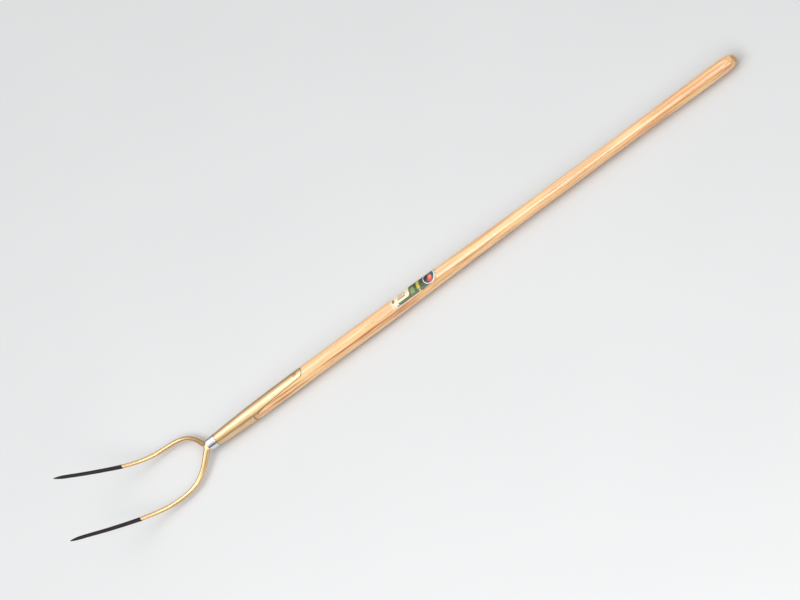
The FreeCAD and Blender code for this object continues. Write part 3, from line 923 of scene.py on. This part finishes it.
def mat_head():
    g = Graph("head_lacquer")
    forge = g.noise(g.vec(g.x * 60.0, g.y * 60.0, g.z * 60.0), 1.0, 3.0, 0.5)
    wear = forge.step(0.60, 0.74) * 0.5
    col, rough, height = lacquered(g, GOLD, GOLD_DEEP, GOLD_PALE,
                                   g.vec(g.x * 150.0, g.y * 150.0, g.z * 420.0), wear)
    # black dip: a level line a little different on each tine, with a slightly uneven, thicker rim
    wob = g.noise(g.vec(g.x * 60.0, g.y * 150.0, g.z * 150.0), 1.0, 2.0, 0.5)
    line = g.y.step(-0.01, 0.01, DIP_RIGHT_X * 0.001, DIP_LEFT_X * 0.001)
    past = g.x - line + (wob - 0.5) * 0.0022
    dip = past.step(-0.0004, 0.0006)
    lip = past.step(-0.0002, 0.0010) * past.step(0.0045, 0.0010)
    speck = g.noise(g.vec(g.x * 500.0, g.y * 500.0, g.z * 500.0), 1.0, 2.0, 0.6)
    scuff = g.noise(g.vec(g.x * 30.0, g.y * 240.0, g.z * 120.0), 1.0, 4.0, 0.65)
    black = g.mix(speck.step(0.5, 0.75) * 0.6, DIP, DIP_WARM)
    black = g.mix(scuff.step(0.60, 0.80) * 0.45, black, DIP_SCUFF)
    col = g.mix(dip, col, black)
    metal = dip.lin(0.0, 1.0, 0.85, 0.0)
    rgh = rough * 0.72 * (dip * -1.0 + 1.0) + (speck.lin(0.3, 0.7, 0.20, 0.30) + scuff.step(0.60, 0.80) * 0.16) * dip
    n = g.bump(height + forge * 1.6 + dip * 1.2 + lip * 0.8 + speck * dip * 0.15, 0.32, 0.00022)
    g.set(Base_Color=col, Roughness=rgh, Normal=n, Metallic=metal, Coat_Weight=dip * -0.80 + 0.9,
          Coat_Roughness=0.12, Coat_IOR=1.75)
    g.set(Specular_IOR_Level=0.22)
    return g.mat


def mat_ring():
    g = Graph("bright_steel")
    ax = g.x
    turn = g.noise(g.vec(ax * 5200.0, g.y * 14.0, g.z * 14.0), 1.0, 2.0, 0.6)
    cloud = g.noise(g.vec(g.x * 90.0, g.y * 90.0, g.z * 90.0), 1.0, 3.0, 0.6)
    scratch = g.noise(g.vec(g.x * 700.0, g.y * 90.0, g.z * 90.0), 1.0, 3.0, 0.7).step(0.62, 0.72)
    wear = g.edges(0.0006)
    col = g.mix(cloud.step(0.35, 0.7), (0.80, 0.81, 0.84), (0.70, 0.71, 0.74))
    col = g.mix(wear * 0.6, col, (0.93, 0.93, 0.94))
    col = g.mix(scratch * 0.25, col, (0.60, 0.60, 0.62))
    rough = turn.lin(0.3, 0.7, 0.07, 0.14) + scratch * 0.08 + cloud.lin(0.3, 0.7, -0.01, 0.03)
    n = g.bump(turn * 0.4 + cloud * 0.8 - scratch * 0.3, 0.14, 0.00008)
    g.set(Base_Color=col, Roughness=rough, Normal=n, Metallic=1.0)
    return g.mat


def mat_rivet():
    g = Graph("rivet_steel")
    rad = (((g.x - xx(RIVET_XI) * 0.001).op("POWER", 2.0)) + g.y * g.y).op("SQRT")
    wear = g.edges(0.0005)
    cloud = g.noise(g.vec(g.x * 500.0, g.y * 500.0, g.z * 500.0), 1.0, 3.0, 0.6)
    col = g.mix(cloud.step(0.35, 0.7), (0.56, 0.335, 0.145), (0.43, 0.235, 0.095))
    # painted shade: the head darkens towards its rim, where it meets the strap
    col = g.mix(rad.step(0.0031, 0.0041) * 0.5, col, (0.33, 0.18, 0.075))
    col = g.mix(wear * 0.35, col, (0.80, 0.62, 0.36))
    rough = cloud.lin(0.3, 0.7, 0.30, 0.44)
    n = g.bump(cloud, 0.3, 0.00012)
    g.set(Base_Color=col, Roughness=rough, Normal=n, Metallic=0.85, Coat_Weight=0.3, Coat_Roughness=0.2)
    return g.mat


def mat_label():
    g = Graph("printed_film")
    wood, _, _, _ = ash(g)
    xi = (g.x * -1000.0) + X0
    arc = g.y.op("ARCTAN2", g.z - ZA * 0.001) * float(wood_r(560.0))

    def soft(d, w=0.16):
        return d.step(w, -w)

    def panel(cx, cy, hx, hy, r):
        """Rounded rectangle: middle, half sizes along and across, corner radius."""
        dx = ((xi - cx).op("ABSOLUTE") - (hx - r)).op("MAXIMUM", 0.0)
        dy = ((arc - cy).op("ABSOLUTE") - (hy - r)).op("MAXIMUM", 0.0)
        return soft((dx * dx + dy * dy).op("SQRT") - r)

    def oval(cx, cy, rx, ry, deg=0.0, w=0.16):
        c, s = math.cos(math.radians(deg)), math.sin(math.radians(deg))
        dx, dy = xi - cx, arc - cy
        u, v = (dx * c + dy * s) / rx, (dy * c - dx * s) / ry
        return soft(((u * u + v * v).op("SQRT") - 1.0) * min(rx, ry), w)

    def over(col, mask, paint):
        return g.mix(mask, col, paint)

    grain = g.noise(g.vec(g.x * 900.0, g.y * 900.0, g.z * 900.0), 1.0, 2.0, 0.6)
    fade = g.noise(g.vec(g.x * 60.0, g.y * 60.0, g.z * 60.0), 1.0, 3.0, 0.6)
    col = g.mix(0.30, wood, (0.93, 0.87, 0.76))                    # clear film over the wood
    # green ground
    green = g.mix(fade.step(0.3, 0.7), srgb(34, 60, 0), srgb(58, 86, 4))
    ground = panel(563.0, 0.0, 44.0, 14.6, 7.0)
    col = over(col, panel(560.0, 0.0, 48.3, 15.5, 5.2) * 0.6, srgb(244, 236, 218))
    col = over(col, ground, green)
    col = over(col, panel(558.5, 3.0, 5.0, 7.0, 1.2) * 0.55, srgb(160, 172, 104))
    col = over(col, fade.step(0.35, 0.6) * xi.step(572.0, 582.0) * 0.7, srgb(70, 62, 34))
    col = over(col, panel(560.0, 13.0, 46.0, 1.4, 1.2) * 0.8, srgb(34, 66, 34))
    # an ear of grain in yellow on the green
    ear = None
    for i in range(5):
        cy = -7.5 + i * 3.6
        for sgn in (-1, 1):
            m = oval(573.5 + sgn * 1.9, cy, 2.3, 1.15, sgn * 38.0)
            ear = m if ear is None else ear.op("MAXIMUM", m)
    ear = ear.op("MAXIMUM", oval(573.5, 12.0, 1.5, 2.4))
    ear = ear.op("MAXIMUM", panel(573.5, 0.5, 0.35, 10.0, 0.2))
    col = over(col, ear, srgb(214, 196, 58))
    # cream panel with plain bars
    col = over(col, panel(528.5, -2.3, 22.0, 11.2, 6.0), srgb(236, 222, 190))
    for cx, cy, hx, hy, paint in ((531.0, 2.6, 9.5, 1.3, (128, 84, 66)), (528.0, -1.4, 6.5, 1.2, (180, 124, 104)),
                                  (531.5, -5.6, 8.5, 1.0, (166, 126, 106)), (539.5, -1.4, 3.0, 1.2, (186, 130, 112))):
        col = over(col, panel(cx, cy, hx, hy, hy * 0.6) * 0.85, srgb(*paint))
    col = over(col, oval(510.3, -0.4, 3.2, 4.2), srgb(122, 118, 90))
    # round badge: dark field, a plain sun over two furrows
    disc = oval(602.0, -0.6, 14.2, 14.4)
    col = over(col, disc, srgb(246, 240, 232))
    field = oval(602.0, -0.6, 12.9, 13.1)
    badge = g.mix(xi.step(597.0, 610.0), srgb(16, 18, 46), srgb(20, 92, 104))
    badge = g.mix(oval(603.5, 8.2, 6.0, 3.4, 20.0, 0.6), badge, srgb(196, 44, 84))
    badge = g.mix(oval(603.6, -4.6, 3.6, 3.0, 0.0, 0.8), badge, srgb(196, 60, 92))
    badge = g.mix(oval(603.8, 1.6, 5.0, 4.6, 0.0, 0.6), badge, srgb(226, 92, 48))
    badge = g.mix(oval(605.6, 1.0, 2.4, 2.4, 0.0, 0.8), badge, srgb(244, 168, 80))
    col = over(col, field, badge)
    col = over(col, grain.step(0.60, 0.75) * 0.05, srgb(255, 255, 250))
    ink = panel(560.0, 0.0, 47.0, 14.6, 4.5).op("MAXIMUM", disc)
    rough = grain.lin(0.3, 0.7, 0.20, 0.28) + ink * 0.05
    n = g.bump(ink * 0.5 + grain * 0.25 + fade * 0.9, 0.2, 0.00010)
    g.set(Base_Color=col, Roughness=rough, Normal=n, Coat_Weight=0.30, Coat_Roughness=0.12, Coat_IOR=1.45)
    return g.mat


GOLD = (0.81, 0.53, 0.245)
GOLD_DEEP = (0.74, 0.455, 0.190)
GOLD_PALE = (0.88, 0.67, 0.40)
# dark brown for the painted shade on the socket, next to the ring and along the straps' outline
GOLD_PAINTED_SHADE = (0.34, 0.185, 0.075)
DIP = (0.012, 0.008, 0.009)
DIP_WARM = (0.026, 0.016, 0.017)
DIP_SCUFF = (0.060, 0.042, 0.040)


# =============================================================================
# Assemble
# =============================================================================
def place(o, node, mat):
    o.data.materials.clear()
    o.data.materials.append(mat)
    for poly in o.data.polygons:
        poly.material_index = 0
    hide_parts(node)
    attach(o, "root")


place(make_handle(), "ash_handle", mat_wood())
place(make_head(), "fork_head", mat_head())
place(make_ring(), "ferrule_ring", mat_ring())
place(make_socket(), "strapped_socket", mat_socket())
place(make_rivet(), "strap_rivet", mat_rivet())
place(make_label(), "handle_label", mat_label())

# floor
me = bpy.data.meshes.new("floor")
s = 100.0
me.from_pydata([(-s, -s, 0), (s, -s, 0), (s, s, 0), (-s, s, 0)], [], [(0, 1, 2, 3)])
floor = bpy.data.objects.new("floor", me)
bpy.context.scene.collection.objects.link(floor)
g = Graph("studio_floor")
tone = g.noise(g.vec(g.x * 2.0, g.y * 2.0, 0.0), 1.0, 3.0, 0.5)
g.set(Base_Color=g.mix(tone.lin(0.3, 0.7, 0.0, 1.0), (0.675, 0.683, 0.688), (0.69, 0.698, 0.702)), Roughness=0.85)
me.materials.append(g.mat)

# light: a wide soft box overhead and a little towards the head, in a room that is darker near the horizon
world = bpy.data.worlds.new("studio")
bpy.context.scene.world = world
world.use_nodes = True
nt = world.node_tree
nt.nodes.clear()
out = nt.nodes.new("ShaderNodeOutputWorld")
room, plain, both = nt.nodes.new("ShaderNodeBackground"), nt.nodes.new("ShaderNodeBackground"), nt.nodes.new("ShaderNodeMixShader")
tc, sep = nt.nodes.new("ShaderNodeTexCoord"), nt.nodes.new("ShaderNodeSeparateXYZ")
dome = nt.nodes.new("ShaderNodeValToRGB")
nt.links.new(tc.outputs["Generated"], sep.inputs[0])
nt.links.new(sep.outputs[2], dome.inputs[0])
el = dome.color_ramp.elements
el[0].position, el[0].color = 0.0, (0.10, 0.10, 0.105, 1)
el[1].position, el[1].color = 1.0, (1.0, 1.0, 1.0, 1)
for pos, v in ((0.20, 0.12), (0.38, 0.30), (0.54, 0.62), (0.68, 0.90), (0.82, 1.0)):
    e = el.new(pos)
    e.color = (v, v, v, 1)
nt.links.new(dome.outputs[0], room.inputs["Color"])
room.inputs["Strength"].default_value = 1.08
plain.inputs["Color"].default_value = (0.80, 0.805, 0.81, 1)
lp = nt.nodes.new("ShaderNodeLightPath")
nt.links.new(lp.outputs["Is Camera Ray"], both.inputs[0])
nt.links.new(room.outputs[0], both.inputs[1])
nt.links.new(plain.outputs[0], both.inputs[2])
nt.links.new(both.outputs[0], out.inputs["Surface"])


def softbox(name, loc, aim, sx, sy, power):
    d = bpy.data.lights.new(name, "AREA")
    d.shape, d.size, d.size_y, d.energy = "RECTANGLE", sx, sy, power
    o = bpy.data.objects.new(name, d)
    back = (Vector(loc) - Vector(aim)).normalized()
    side = Vector((1, 0, 0)) - back * back.x
    side.normalize()
    up = back.cross(side)
    o.matrix_world = Matrix(((side.x, up.x, back.x, loc[0]), (side.y, up.y, back.y, loc[1]),
                             (side.z, up.z, back.z, loc[2]), (0, 0, 0, 1)))
    bpy.context.scene.collection.objects.link(o)


softbox("key", (2.05, -0.10, 2.9), (0.45, 0.0, 0.0), 1.7, 1.7, 20.5)
softbox("side", (0.70, 1.85, 2.35), (-0.40, 0.0, 0.0), 1.3, 1.2, 22.0)
softbox("fill", (-0.70, 2.70, 1.55), (-0.20, 0.0, 0.0), 1.8, 1.0, 19.0)

# camera at the photograph's angle, far away with a long lens
cam = bpy.data.cameras.new("camera")
cam.type, cam.lens, cam.sensor_width, cam.sensor_fit = "PERSP", 483.849, 36.0, "HORIZONTAL"
cam.clip_start, cam.clip_end = 1.0, 400.0
co = bpy.data.objects.new("camera", cam)
bpy.context.scene.collection.objects.link(co)
R, U, B = (-0.72953716, 0.23087791, -0.64379416), (-0.53774467, -0.77527284, 0.33133471), (-0.42261826, 0.58791786, 0.68974371)
L = (-8.70537, 12.13588, 14.26651)
co.matrix_world = Matrix(((R[0], U[0], B[0], L[0]), (R[1], U[1], B[1], L[1]), (R[2], U[2], B[2], L[2]), (0, 0, 0, 1)))
bpy.context.scene.camera = co

vs = bpy.context.scene.view_settings
vs.view_transform, vs.look, vs.exposure, vs.gamma = "Standard", "None", 0.0, 1.0
